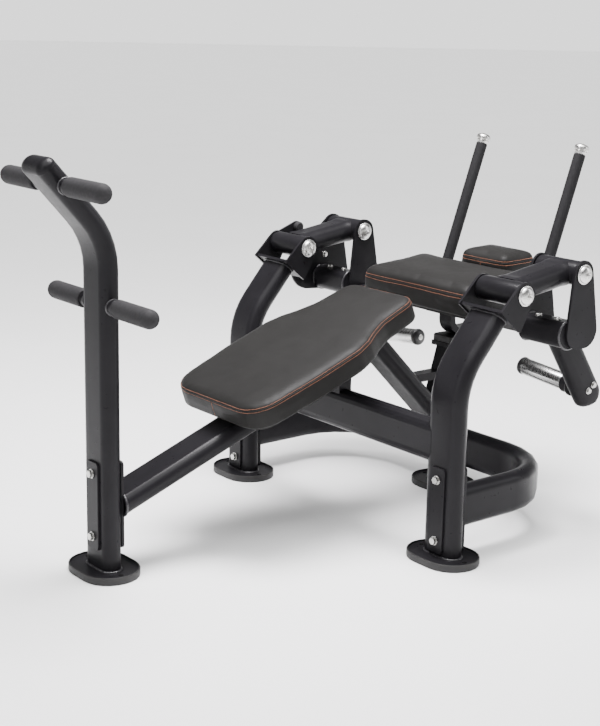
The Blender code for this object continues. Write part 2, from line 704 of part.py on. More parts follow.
def make_cradle_frame():
    origin = xz(CRADLE_PIVOT)
    reach = SIDE_Y - CHEEK_OUT - GAP
    outline = rounded_rectangle(0.040, 0.0065, 0.003, 2)
    rings = [[(1.175 + a, y, CRADLE_BAR_Z + b) for a, b in outline] for y in (-reach, reach)]
    frame = build("pad_frame", rings, "black_frame", origin=origin)
    join(frame, box("spine", (1.15, -0.03, 0.5600), (1.415, 0.03, 0.5790), "black_frame"))
    join(frame, box("riser", (1.395, -0.03, 0.560), (1.425, 0.03, 0.655), "black_frame"))
    join(frame, box("head_plate", (1.375, -0.05, 0.6487), (1.465, 0.05, 0.6547), "black_frame"))
    profile = [(0, 0), (0.016, 0), (0.016, 0.460), (0, 0.460)]
    join(frame, turned("crossbar", profile, (1.368, -0.230, 0.570), (0, 1, 0), "black_frame"))
    corners = [(1.212, 0, 0.562), (1.212, 0, 0.4935), (1.345, 0, 0.4935), (1.345, 0, 0.562)]
    path = rounded_path(corners, 0.038, 6)
    section = [(-0.025, -0.01), (0.025, -0.01), (0.025, 0.01), (-0.025, 0.01)]
    join(frame, bar("hoop", path, (0, 1, 0), section, "black_frame"))

    low = Vector((1.368, 0, 0.570))
    high = Vector((1.541, 0, 1.052))
    way = (high - low).normalized()
    run = (high - low).length
    for side, sign in (("right", -1), ("left", 1)):
        start = low + Vector((0, sign * HANDLE_Y, 0))
        rod = [(0, 0.0165), (0.0125, 0.0165), (0.0125, run - 0.016), (0.019, run - 0.016)]
        rod += [(0.019, run - 0.011), (0.0225, run - 0.007), (0.0225, run - 0.001)]
        rod += dome(0.0225, run - 0.001, 0.012, 4)[1:]
        turned(f"handle_{side}", rod, start, way, "chrome_plate", origin=origin)
        bore = 0.0125 + GAP
        low_end, top_end = 0.085, run - 0.016 - GAP
        sleeve = [(bore, low_end), (0.0165, low_end), (0.0175, low_end + 0.002)]
        sleeve += [(0.0175, top_end - 0.002), (0.0165, top_end), (bore, top_end)]
        side_way = way.orthogonal().normalized()
        other = way.cross(side_way)
        rings = []
        for radius, distance in sleeve:
            ring = [side_way * a + other * b for a, b in circle(radius)]
            rings.append([start + way * distance + p for p in ring])
        build(f"handle_sleeve_{side}", rings, "grip_rubber", loop=True, origin=origin)


def bench_half_width(run):
    """Half width of the bench pad: wide at the hips, waisted, narrow at the shoulders."""
    flare = min(max(run / 0.22, 0.0), 1.0)
    wide = 0.199 + 0.017 * flare
    waist = min(max((run - 0.370) / 0.165, 0.0), 1.0)
    ease = waist * waist * (3 - 2 * waist)
    narrow = 0.155 - 0.011 * max(run - 0.53, 0.0) / 0.13
    return wide + (narrow - wide) * ease


def plain_half_width(half):
    return lambda run: half


def pad_outline(length, half_width, corners, inset, steps=4):
    """Closed outline as (run, y), drawn in by the inset; the corners are the near and far radius."""
    near, far = (max(corner - inset, 0.004) for corner in corners)
    first, last = inset, length - inset
    turns = [math.pi / 2 * i / steps for i in range(steps + 1)]
    runs = [(first + near * (1 - math.cos(t)), near * (1 - math.sin(t))) for t in turns]
    inner = 11
    for i in range(1, inner):
        runs.append((first + near + (last - first - near - far) * i / inner, 0.0))
    runs += [(last - far * (1 - math.cos(t)), far * (1 - math.sin(t))) for t in turns[::-1]]
    side = [(run, half_width(run) - inset - drawn) for run, drawn in runs]
    return side + [(run, -half) for run, half in side[::-1]]


def cushion(name, corner_point, angle, length, half_width, thick, corner, look, slope=0.0, **more):
    """A pad whose seam plane starts at the corner point and rises at the angle along +X."""
    along = Vector((math.cos(angle), 0, math.sin(angle)))
    up = Vector((-math.sin(angle), 0, math.cos(angle)))
    top = more.get("top", 0.012)
    steps = more.get("steps") or (
        (0.004, -thick), (0.0, 0.004 - thick), (0.0, 0.0),
        (0.003, top * 0.5), (0.009, top * 0.85), (0.022, top),
    )
    rings = []
    for inset, level in steps:
        ring = []
        corners = (corner, more.get("far_corner", corner))
        for run, y in pad_outline(length, half_width, corners, inset):
            rise = level + (slope * run if level > -thick * 0.9 else 0.0)
            point = xz(corner_point) + along * run + up * rise
            ring.append((point.x, y, point.z))
        rings.append(ring)
    return build(name, rings, look, origin=more.get("origin"))


def make_pads():
    up = Vector((-math.sin(BENCH_PAD_ANGLE), 0, math.cos(BENCH_PAD_ANGLE)))
    cushion(
        "bench_pad", BENCH_PAD_SEAM, BENCH_PAD_ANGLE, BENCH_PAD_LENGTH, bench_half_width,
        BENCH_PAD_THICK, BENCH_PAD_CORNER, "pad_cover", top=0.006, far_corner=0.044,
    )
    under = xz(BENCH_PAD_SEAM) - up * (BENCH_PAD_THICK + GAP)
    board = ((0.025, -BOARD_THICK), (0.025, 0.0))
    cushion(
        "bench_board", (under.x, under.z), BENCH_PAD_ANGLE, BENCH_PAD_LENGTH, bench_half_width,
        BOARD_THICK, BENCH_PAD_CORNER, "pad_board", steps=board, far_corner=0.044,
    )
    origin = xz(CRADLE_PIVOT)
    cushion(
        "back_pad", (1.06, 0.650), 0.0, 0.27, plain_half_width(0.235), 0.0597, 0.030,
        "pad_cover", slope=0.085, top=0.018, origin=origin,
    )
    cushion(
        "back_board", (1.06, 0.590), 0.0, 0.27, plain_half_width(0.235), BOARD_THICK, 0.030,
        "pad_board", steps=board, origin=origin,
    )
    cushion(
        "head_pad", (1.345, 0.701), 0.0, 0.145, plain_half_width(0.100), 0.0370, 0.026,
        "pad_cover", slope=0.03, top=0.018, origin=origin,
    )
    cushion(
        "head_board", (1.345, 0.6637), 0.0, 0.145, plain_half_width(0.100), 0.0087, 0.026,
        "pad_board", steps=((0.014, -0.0087), (0.014, 0.0)), origin=origin,
    )


def finish_nodes():
    """Gives every node its own material and smooth shading that keeps sharp edges."""
    for name, look in NODE_LOOKS.items():
        obj = bpy.data.objects[name]
        colour, metallic, roughness = MATERIAL_LOOKS[look]
        obj.data.name = name
        obj.data.materials.clear()
        obj.data.materials.append(make_material(f"{look}.{name}", colour, metallic, roughness))
        obj.data.polygons.foreach_set("use_smooth", [True] * len(obj.data.polygons))
        obj.data.set_sharp_from_angle(angle=math.radians(32.0))


clear_scene()
make_foot_post()
make_bench_beam()
make_towers()
make_rear_frame()
make_links()
make_cradle_sides()
make_cradle_frame()
make_pads()
finish_nodes()
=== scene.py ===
"""Looks of the roman chair: materials, sewn pads, bright metalwork, weld beads and small
fasteners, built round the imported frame. Metres; +X runs from the foot post to the head end, and
+Y is the left side."""

import math

import bmesh
import bpy
import numpy as np
from mathutils import Matrix, Vector, noise
from mathutils.bvhtree import BVHTree


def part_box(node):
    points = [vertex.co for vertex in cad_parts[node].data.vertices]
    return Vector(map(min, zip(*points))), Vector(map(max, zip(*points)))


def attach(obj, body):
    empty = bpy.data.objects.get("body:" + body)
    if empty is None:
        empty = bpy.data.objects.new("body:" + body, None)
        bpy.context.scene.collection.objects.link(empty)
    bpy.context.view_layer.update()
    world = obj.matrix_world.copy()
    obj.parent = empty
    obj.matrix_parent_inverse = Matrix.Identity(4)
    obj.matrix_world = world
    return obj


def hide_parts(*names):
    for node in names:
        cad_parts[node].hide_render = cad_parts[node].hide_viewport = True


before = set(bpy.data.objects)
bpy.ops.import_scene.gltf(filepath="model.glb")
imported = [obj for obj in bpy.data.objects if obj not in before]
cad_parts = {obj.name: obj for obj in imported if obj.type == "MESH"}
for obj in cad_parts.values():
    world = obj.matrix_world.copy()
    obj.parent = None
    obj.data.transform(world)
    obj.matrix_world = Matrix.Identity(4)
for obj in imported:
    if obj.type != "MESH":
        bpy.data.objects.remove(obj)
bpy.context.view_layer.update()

# ---------------------------------------------------------------- places, from the frame


def centre(node):
    low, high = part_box(node)
    return (low + high) / 2


POST = centre("post_shoe")
TOWER = centre("tower_shoe_left")
REAR = centre("rear_shoe")
SIDE_Y = TOWER.y
LINK_PIVOT = centre("link_pin_left")
CRADLE_PIVOT = centre("cradle_pin_left")
SIDES = (("right", -1.0), ("left", 1.0))
X, Y, Z = Vector((1, 0, 0)), Vector((0, 1, 0)), Vector((0, 0, 1))
TUBE_WIDE = 0.118  # the flat-oval tube of the post, towers and beams
TUBE_THIN = 0.055
FOOT_TOP = 0.016  # top of the foot plates
CHEEK_OUT = 0.081  # outer face of a bracket cheek, from its side's centre plane
PLATE = 0.008
LINK_WIDE = 0.108  # the flat-oval tube between a link's hubs
LINK_THIN = 0.064
WASHER_THICK = 0.0016
SAME_PLACE = 0.00002  # corners nearer than this are one corner


def at(x, y, z):
    """A point given from the foot post's centre line."""
    return Vector((POST.x + x, y, z))


# ---------------------------------------------------------------- materials


class Nodes:
    """Adds and links the shader nodes of one material."""

    def __init__(self, name):
        self.material = bpy.data.materials.new(name)
        self.material.use_nodes = True
        self.tree = self.material.node_tree
        self.shader = self.tree.nodes["Principled BSDF"]
        self.place = self.add("ShaderNodeTexCoord").outputs["Object"]

    def add(self, kind, **inputs):
        node = self.tree.nodes.new(kind)
        for key, value in inputs.items():
            node.inputs[key.replace("_", " ")].default_value = value
        return node

    def link(self, source, target):
        self.tree.links.new(source, target)

    def noise(self, scale, detail=3.0, rough=0.5, stretch=None):
        source = self.place
        if stretch:
            mapping = self.add("ShaderNodeMapping", Scale=stretch)
            self.link(source, mapping.inputs["Vector"])
            source = mapping.outputs["Vector"]
        node = self.add("ShaderNodeTexNoise", Scale=scale, Detail=detail, Roughness=rough)
        self.link(source, node.inputs["Vector"])
        return node.outputs["Fac"]

    def cells(self, scale, feature="F1"):
        node = self.add("ShaderNodeTexVoronoi", Scale=scale)
        node.feature = feature
        self.link(self.place, node.inputs["Vector"])
        return node.outputs["Distance"]

    def ramp(self, value, low, high, start=0.0, end=1.0):
        node = self.add("ShaderNodeMapRange", From_Min=start, From_Max=end, To_Min=low, To_Max=high)
        self.link(value, node.inputs["Value"])
        return node.outputs["Result"]

    def mix(self, factor, first, second):
        node = self.tree.nodes.new("ShaderNodeMix")
        node.data_type = "RGBA"
        node.inputs["A"].default_value = (*first, 1.0)
        node.inputs["B"].default_value = (*second, 1.0)
        self.link(factor, node.inputs["Factor"])
        return node.outputs["Result"]

    def sum(self, *values):
        node = self.tree.nodes.new("ShaderNodeMath")
        node.operation = "ADD"
        for socket, value in zip(node.inputs, values):
            self.link(value, socket)
        return node.outputs["Value"]

    def colour(self, first, second, scale, low=0.3, high=0.7):
        """A base colour that wanders between two tones in patches."""
        blend = self.ramp(self.noise(scale), 0.0, 1.0, low, high)
        self.link(self.mix(blend, first, second), self.shader.inputs["Base Color"])

    def rough(self, low, high, scale, stretch=None):
        """A roughness that wanders between two values."""
        value = self.ramp(self.noise(scale, 4.0, 0.6, stretch), low, high, 0.3, 0.7)
        self.link(value, self.shader.inputs["Roughness"])

    def bump(self, *layers):
        """Each layer is (height output, distance in metres)."""
        normal = None
        for height, distance in layers:
            node = self.add("ShaderNodeBump", Strength=1.0, Distance=distance)
            self.link(height, node.inputs["Height"])
            if normal:
                self.link(normal, node.inputs["Normal"])
            normal = node.outputs["Normal"]
        self.link(normal, self.shader.inputs["Normal"])

    def set(self, **values):
        """Values that are the same all over, on the shader's own sockets."""
        for key, value in values.items():
            self.shader.inputs[key.replace("_", " ")].default_value = value
        return self


def powder_coat():
    """Satin black powder coat: fine orange peel, faint mottling and a cool highlight."""
    m = Nodes("powder_coat").set(Specular_IOR_Level=0.09, Coat_Weight=0.02, Coat_Roughness=0.20)
    m.colour((0.0090, 0.0085, 0.0097), (0.0122, 0.0116, 0.0132), 9.0)
    m.rough(0.27, 0.35, 60.0)
    m.bump((m.noise(1500.0, 2.0), 0.00002), (m.noise(300.0, 2.0), 0.00002))
    return m.material


def weld_coat():
    """The same coat where it lies thick over a weld."""
    m = Nodes("weld_coat").set(Coat_Weight=0.2, Coat_Roughness=0.22)
    m.colour((0.014, 0.013, 0.015), (0.022, 0.021, 0.024), 60.0)
    m.rough(0.24, 0.38, 300.0)
    m.bump((m.noise(900.0, 3.0), 0.00008),)
    return m.material


def leatherette():
    """Black vinyl cover with a pebbled grain, faint stretch marks and a soft sheen."""
    m = Nodes("leatherette").set(Specular_IOR_Level=0.12, Sheen_Weight=0.02, Sheen_Roughness=0.40)
    m.colour((0.0098, 0.0094, 0.0090), (0.0120, 0.0116, 0.0111), 9.0, 0.25, 0.75)
    grain = m.cells(950.0, "SMOOTH_F1")
    creases = m.cells(620.0, "DISTANCE_TO_EDGE")
    pebble = m.ramp(creases, 0.0, 1.0, 0.0, 0.35)
    patches = m.ramp(m.noise(24.0), 0.49, 0.55, 0.3, 0.7)
    m.link(m.sum(patches, m.ramp(grain, -0.03, 0.03)), m.shader.inputs["Roughness"])
    m.bump((m.noise(11.0, 2.0), 0.0004), (pebble, 0.00007), (grain, 0.00004))
    return m.material


def foam_rubber(name, dark, pale):
    """Matte dark grip foam with tiny open cells."""
    m = Nodes(name).set(Specular_IOR_Level=0.12)
    m.colour(dark, pale, 120.0)
    m.rough(0.62, 0.78, 300.0)
    m.bump((m.cells(1500.0), 0.00005), (m.noise(500.0), 0.00004))
    return m.material


def shoe_rubber():
    """Worn rubber of the foot shoes and the stop."""
    m = Nodes("shoe_rubber").set(Specular_IOR_Level=0.35)
    m.colour((0.0125, 0.012, 0.0125), (0.020, 0.0193, 0.019), 45.0)
    m.rough(0.48, 0.66, 90.0)
    m.bump((m.noise(700.0, 3.0), 0.00008),)
    return m.material


def chrome():
    """Polished chrome with faint swirls and a little tarnish."""
    m = Nodes("chrome").set(Metallic=1.0)
    m.colour((0.70, 0.69, 0.67), (0.56, 0.56, 0.565), 60.0, 0.45, 0.8)
    m.rough(0.24, 0.33, 150.0)
    m.bump((m.noise(60.0, 2.0), 0.00001),)
    return m.material


def zinc():
    """Bright zinc on fasteners, with a crystalline mottle."""
    m = Nodes("zinc").set(Metallic=1.0)
    m.colour((0.66, 0.65, 0.62), (0.42, 0.42, 0.41), 420.0, 0.35, 0.65)
    m.rough(0.18, 0.36, 600.0)
    m.bump((m.noise(900.0, 3.0), 0.00003),)
    return m.material


def horn_steel():
    """Plated horn sleeve with rubbed rings where plates slide on."""
    m = Nodes("horn_steel").set(Metallic=1.0)
    m.colour((0.62, 0.62, 0.61), (0.46, 0.46, 0.455), 30.0)
    m.rough(0.16, 0.32, 60.0, stretch=(1.0, 14.0, 1.0))
    m.bump((m.noise(220.0, 3.0, 0.5, (1.0, 9.0, 1.0)), 0.00003),)
    return m.material


def moulded_plastic():
    """Black moulded end caps."""
    m = Nodes("moulded_plastic").set(Specular_IOR_Level=0.5)
    m.colour((0.011, 0.0105, 0.011), (0.016, 0.0155, 0.016), 40.0)
    m.rough(0.30, 0.42, 160.0)
    m.bump((m.noise(1100.0, 2.0), 0.00004),)
    return m.material


def thread():
    """Copper-coloured sewing thread with a twisted surface."""
    m = Nodes("copper_thread").set(Specular_IOR_Level=0.35, Sheen_Weight=0.15, Sheen_Roughness=0.4)
    m.colour((0.37, 0.145, 0.080), (0.25, 0.092, 0.050), 160.0)
    m.rough(0.50, 0.70, 800.0)
    m.bump((m.noise(2600.0, 2.0, 0.5, (1.0, 1.0, 2.2)), 0.0002),)
    return m.material


def board_cover():
    """Dark cloth under the pads."""
    m = Nodes("board_cover").set(Specular_IOR_Level=0.3)
    m.colour((0.012, 0.011, 0.011), (0.020, 0.019, 0.018), 60.0)
    m.rough(0.55, 0.75, 220.0)
    m.bump((m.cells(800.0), 0.00012),)
    return m.material


def painted_hole_shade():
    """Painted shade: a flat near-black colour that stands in for the shaded inside of a bolt hole.
    """
    m = Nodes("painted_hole_shade").set(Specular_IOR_Level=0.1)
    m.colour((0.003, 0.003, 0.003), (0.006, 0.006, 0.006), 200.0)
    m.rough(0.8, 0.95, 300.0)
    m.bump((m.noise(500.0), 0.0001),)
    return m.material


def floor_paint():
    """Plain pale studio floor."""
    m = Nodes("floor_paint").set(Specular_IOR_Level=0.15)
    m.colour((0.90, 0.90, 0.90), (0.92, 0.92, 0.92), 1.2)
    m.rough(0.70, 0.85, 4.0)
    m.bump((m.noise(60.0), 0.0001),)
    return m.material


COAT = powder_coat()
WELD = weld_coat()
VINYL = leatherette()
FOAM = foam_rubber("grip_foam", (0.021, 0.0203, 0.0215), (0.027, 0.0262, 0.0276))
SLEEVE = foam_rubber("sleeve_foam", (0.0105, 0.0100, 0.0110), (0.0150, 0.0145, 0.0155))
SHOE = shoe_rubber()
CHROME = chrome()
ZINC = zinc()
HORN = horn_steel()
PLASTIC = moulded_plastic()
THREAD = thread()
BOARD = board_cover()
# painted shade for the floor-bolt holes
HOLE_SHADE = painted_hole_shade()

# ---------------------------------------------------------------- frame nodes as they show


def shade(mesh, material):
    mesh.materials.clear()
    mesh.materials.append(material)
    mesh.polygons.foreach_set("use_smooth", [True] * len(mesh.polygons))


def dress(node, material, edge):
    """Gives a CAD node its finish, softened edges and smooth shading over its facets."""
    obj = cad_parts[node]
    for layer in ("custom_normal", "sharp_face", "sharp_edge"):
        attribute = obj.data.attributes.get(layer)
        if attribute:
            obj.data.attributes.remove(attribute)
    shade(obj.data, material)
    weld = obj.modifiers.new("weld", "WELD")
    weld.merge_threshold = SAME_PLACE
    bevel = obj.modifiers.new("soft_edges", "BEVEL")
    bevel.width = edge
    bevel.segments = 2
    bevel.limit_method = "ANGLE"
    bevel.angle_limit = math.radians(36.0)
    bevel.use_clamp_overlap = True
    bevel.miter_outer = "MITER_ARC"
    bevel.harden_normals = False
    split = obj.modifiers.new("crisp", "EDGE_SPLIT")
    split.split_angle = math.radians(40.0)
    split.use_edge_sharp = False
    normals = obj.modifiers.new("even_shade", "WEIGHTED_NORMAL")
    normals.weight = 60


COATED = ["foot_post", "post_clamp_plate", "bench_beam", "cross_tube", "rear_loop", "diagonal_tube"]
COATED += ["rear_leg", "stop_post", "pad_frame"]
RUBBER = ["post_shoe", "rear_shoe", "stop_rubber"]
ZINCED = ["post_bolt_1", "post_bolt_2"]
for side, _ in SIDES:
    COATED += [f"tower_{side}", f"tower_clamp_plate_{side}", f"tower_bracket_{side}"]
    COATED += [f"cradle_plate_inner_{side}", f"cradle_plate_outer_{side}"]
    COATED += [f"side_tube_{side}", f"arm_{side}"]
    RUBBER.append(f"tower_shoe_{side}")
    ZINCED += [f"tower_bolt_{side}_1", f"tower_bolt_{side}_2"]

for name in COATED:
    dress(name, COAT, 0.0015 if name == "pad_frame" else 0.0012)
for name in RUBBER:
    dress(name, SHOE, 0.0009)
for name in ZINCED:
    dress(name, ZINC, 0.0005)
dress("bumper_knob", FOAM, 0.0010)
for name in ("bench_board", "back_board", "head_board"):
    dress(name, BOARD, 0.0010)

# ---------------------------------------------------------------- mesh helpers


def new_object(name, mesh, material, body):
    mesh.name = name
    shade(mesh, material)
    obj = bpy.data.objects.new(name, mesh)
    bpy.context.scene.collection.objects.link(obj)
    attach(obj, body)
    return obj


def mesh_from(points, faces):
    """A mesh with its faces turned outward."""
    mesh = bpy.data.meshes.new("piece")
    mesh.from_pydata([tuple(p) for p in points], [], faces)
    shape = bmesh.new()
    shape.from_mesh(mesh)
    bmesh.ops.recalc_face_normals(shape, faces=shape.faces)
    shape.to_mesh(mesh)
    shape.free()
    return mesh


def skin(rings):
    """Points and faces over rings of equal length, with both ends filled."""
    count = len(rings[0])
    points = [p for ring in rings for p in ring]
    faces = []
    for a in range(0, len(points) - count, count):
        b = a + count
        for j in range(count):
            k = (j + 1) % count
            faces.append((a + j, a + k, b + k, b + j))
    faces.append(tuple(range(count)))
    faces.append(tuple(range(len(points) - count, len(points))))
    return points, faces


def merged(parts):
    """One mesh from several (points, faces) parts."""
    points, faces = [], []
    for part_points, part_faces in parts:
        base = len(points)
        points += list(part_points)
        faces += [tuple(base + i for i in face) for face in part_faces]
    return mesh_from(points, faces)


def turned(profile, start, direction, count=56):
    """Rings of a turned shape; profile pairs are (radius, distance along the direction)."""
    start, direction = Vector(start), Vector(direction).normalized()
    side = direction.orthogonal().normalized()
    other = direction.cross(side)
    rings = []
    for radius, distance in profile:
        ring = []
        for i in range(count):
            turn = 2 * math.pi * i / count
            way = side * math.cos(turn) + other * math.sin(turn)
            ring.append(start + direction * distance + way * max(radius, 0.00002))
        rings.append(ring)
    return skin(rings)


def rounded(profile, radius=0.0006, steps=3):
    """The profile with its inner corners eased by small arcs."""
    result = [Vector(profile[0])]
    for before, corner, after in zip(profile, profile[1:], profile[2:]):
        before, corner, after = Vector(before), Vector(corner), Vector(after)
        back, ahead = before - corner, after - corner
        reach = min(radius, back.length * 0.45, ahead.length * 0.45)
        if reach < 1e-6 or abs(back.normalized().dot(ahead.normalized())) > 0.97:
            result.append(corner)
            continue
        first, last = corner + back.normalized() * reach, corner + ahead.normalized() * reach
        for i in range(steps + 1):
            t = i / steps
            result.append(first * (1 - t) ** 2 + corner * 2 * t * (1 - t) + last * t * t)
    result.append(Vector(profile[-1]))
    return [tuple(p) for p in result]


def dome(radius, start, height, steps=9):
    """The profile of a quarter of an ellipse, from its rim to its top."""
    turns = [math.pi / 2 * i / steps for i in range(steps + 1)]
    return [(radius * math.cos(t), start + height * math.sin(t)) for t in turns]


def hex_prism(start, direction, radius, height):
    """A hexagon bolt head with a chamfered top."""
    start, direction = Vector(start), Vector(direction).normalized()
    side = direction.orthogonal().normalized()
    other = direction.cross(side)
    rings = []
    for scale, distance in ((1.0, 0.0), (1.0, height - 0.0008), (0.88, height), (0.3, height)):
        ring = []
        for i in range(24):
            turn = 2 * math.pi * i / 24
            fold = (turn + math.pi / 6) % (math.pi / 3) - math.pi / 6
            reach = radius * math.cos(math.pi / 6) / math.cos(fold)
            reach = min(reach, radius * 0.985) * scale
            way = side * math.cos(turn) + other * math.sin(turn)
            ring.append(start + direction * distance + way * reach)
        rings.append(ring)
    return skin(rings)


def washer(start, direction, radius):
    inner = radius * 0.3
    profile = [(inner, 0.0), (radius, 0.0), (radius, WASHER_THICK), (inner, WASHER_THICK)]
    return turned(rounded(profile, 0.0005), start, direction, 36)


def stadium_loop(wide, high, count):
    """Evenly spaced points on a flat-sided oval that is wider than it is high."""
    radius = high / 2
    run = wide - high
    half_turn = math.pi * radius
    total = 2 * half_turn + 2 * run
    points = []
    for i in range(count):
        s = total * i / count
        if s < run:
            points.append((s - run / 2, -radius))
        elif s < run + half_turn:
            turn = -math.pi / 2 + (s - run) / radius
            points.append((run / 2 + radius * math.cos(turn), radius * math.sin(turn)))
        elif s < 2 * run + half_turn:
            points.append((run / 2 - (s - run - half_turn), radius))
        else:
            turn = math.pi / 2 + (s - 2 * run - half_turn) / radius
            points.append((-run / 2 + radius * math.cos(turn), radius * math.sin(turn)))
    return points


def bead(path, size, seed):
    """A rippled weld bead along a closed path, whose last point repeats its first."""
    rings = []
    for i, point in enumerate(path):
        along = (path[(i + 1) % len(path)] - path[i - 1]).normalized()
        side = along.orthogonal().normalized()
        other = along.cross(side)
        wave = 0.10 * math.sin(i * 2.1) + 0.22 * noise.noise(point * 90.0 + Vector((seed, 0, 0)))
        radius = size * (1.0 + wave)
        ring = []
        for j in range(8):
            turn = 2 * math.pi * j / 8
            ring.append(point + (side * math.cos(turn) + other * math.sin(turn)) * radius)
        rings.append(ring)
    # orthogonal() may flip between neighbours, so each ring is turned to meet the one before
    for i in range(1, len(rings)):
        shift = min(range(8), key=lambda k: (rings[i][k] - rings[i - 1][0]).length)
        rings[i] = rings[i][shift:] + rings[i][:shift]
        if (rings[i][1] - rings[i - 1][1]).length > (rings[i][-1] - rings[i - 1][1]).length:
            rings[i] = [rings[i][0]] + rings[i][:0:-1]
    return skin(rings)


def oval_bead(middle, first, second, size, high=TUBE_THIN):
    """A bead round a flat-oval tube's end; first and second span the plane it lies in."""
    path = [middle + first * a + second * b for a, b in stadium_loop(TUBE_WIDE, high, 110)]
    path.append(path[0])
    return bead(path, size, middle.x * 10)


# ---------------------------------------------------------------- sewn pads


SEAM_STEP = 0.004  # from one stitch to the next


def plane_outline(node, point, up):
    """The closed outline where a plane cuts a CAD pad, evenly spaced, anticlockwise from above."""
    shape = bmesh.new()
    shape.from_mesh(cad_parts[node].data)
    bmesh.ops.remove_doubles(shape, verts=shape.verts, dist=SAME_PLACE)
    everything = shape.verts[:] + shape.edges[:] + shape.faces[:]
    cut = bmesh.ops.bisect_plane(shape, geom=everything, plane_co=point, plane_no=up)["geom_cut"]
    edges = [e for e in cut if isinstance(e, bmesh.types.BMEdge)]
    neighbours = {}
    for edge in edges:
        a, b = edge.verts
        neighbours.setdefault(a, []).append(b)
        neighbours.setdefault(b, []).append(a)
    start = min(neighbours, key=lambda v: (round(v.co.x, 5), round(v.co.y, 5)))
    loop, last = [start], None
    while True:
        ahead = [v for v in neighbours[loop[-1]] if v is not last]
        last = loop[-1]
        if not ahead or ahead[0] is start:
            break
        loop.append(ahead[0])
    points = [v.co.copy() for v in loop]
    shape.free()
    area = sum(a.cross(b).dot(up) for a, b in zip(points, points[1:] + points[:1]))
    if area < 0:
        points.reverse()
    lengths = [(b - a).length for a, b in zip(points, points[1:] + points[:1])]
    total = sum(lengths)
    count = int(total / SEAM_STEP)
    result, i, done = [], 0, 0.0
    for k in range(count):
        goal = total * k / count
        while done + lengths[i] < goal:
            done += lengths[i]
            i += 1
        a, b = points[i], points[(i + 1) % len(points)]
        result.append(a.lerp(b, (goal - done) / lengths[i]))
    for _ in range(3):
        result = [
            (result[k - 1] + result[k] * 2 + result[(k + 1) % count]) / 4 for k in range(count)
        ]
    return result


def outward(loop, up):
    """The outward direction at each point of a pad's outline."""
    ways = []
    for k in range(len(loop)):
        along = (loop[(k + 1) % len(loop)] - loop[k - 1]).normalized()
        ways.append(along.cross(up).normalized())
    return ways


def points_of(mesh):
    """The mesh's points, one row each."""
    points = np.empty(len(mesh.vertices) * 3)
    mesh.vertices.foreach_get("co", points)
    return points.reshape(-1, 3)


STUFFING = 4.0  # pressure that fills a cover
SETTLE_FRAMES = 20
FREE_HEIGHT = 0.022  # a cover is held to its board below this


def swell(obj, cap, low, up):
    """Fills the cover like a balloon with the Cloth solver; the underside stays on its board.
    No point moves further than cap."""
    rest = points_of(obj.data)
    cloth = obj.modifiers.new("cloth", "CLOTH")
    settings = cloth.settings
    settings.quality = 5
    settings.mass = 0.35
    settings.tension_stiffness = 22.0
    settings.compression_stiffness = 22.0
    settings.shear_stiffness = 10.0
    settings.bending_stiffness = 2.5
    settings.use_pressure = True
    settings.uniform_pressure_force = STUFFING
    settings.effector_weights.gravity = 0.0
    cloth.collision_settings.use_collision = False
    cloth.point_cache.frame_start = 1
    cloth.point_cache.frame_end = SETTLE_FRAMES
    for number in range(1, SETTLE_FRAMES + 1):
        bpy.context.scene.frame_set(number)
    graph = bpy.context.evaluated_depsgraph_get()
    swollen = points_of(obj.evaluated_get(graph).data)
    obj.modifiers.remove(cloth)
    bpy.context.scene.frame_set(1)
    move = swollen - rest
    size = np.linalg.norm(move, axis=1)[:, None]
    move *= cap * np.tanh(size / cap) / np.maximum(size, 1e-9)
    height = (rest - np.array(low)) @ np.array(up)
    free = np.clip(height / FREE_HEIGHT, 0.0, 1.0)[:, None]
    free = free * free * (3 - 2 * free)
    obj.data.vertices.foreach_set("co", (rest + move * free).ravel())
    obj.data.update()


COVER_INSET = 0.0025  # the cover starts this far inside the CAD pad and swells out to it
CROWN_REACH = 0.09  # a pad's top has risen to its crown this far in from the seam
CROWN_EDGE = 0.004  # only what lies this far above the seam rises fully
WAIST_BULGE = 0.0018  # how far a pad's side bulges, halfway down
WAIST_REACH = 0.02  # the sides are what lies this near the seam's outline
GROOVE_DEPTH = 0.0016  # how far the seam pulls the cover in
GROOVE_HIGH = 0.0032
GROOVE_IN = 0.012
WELT_RADIUS = 0.0019


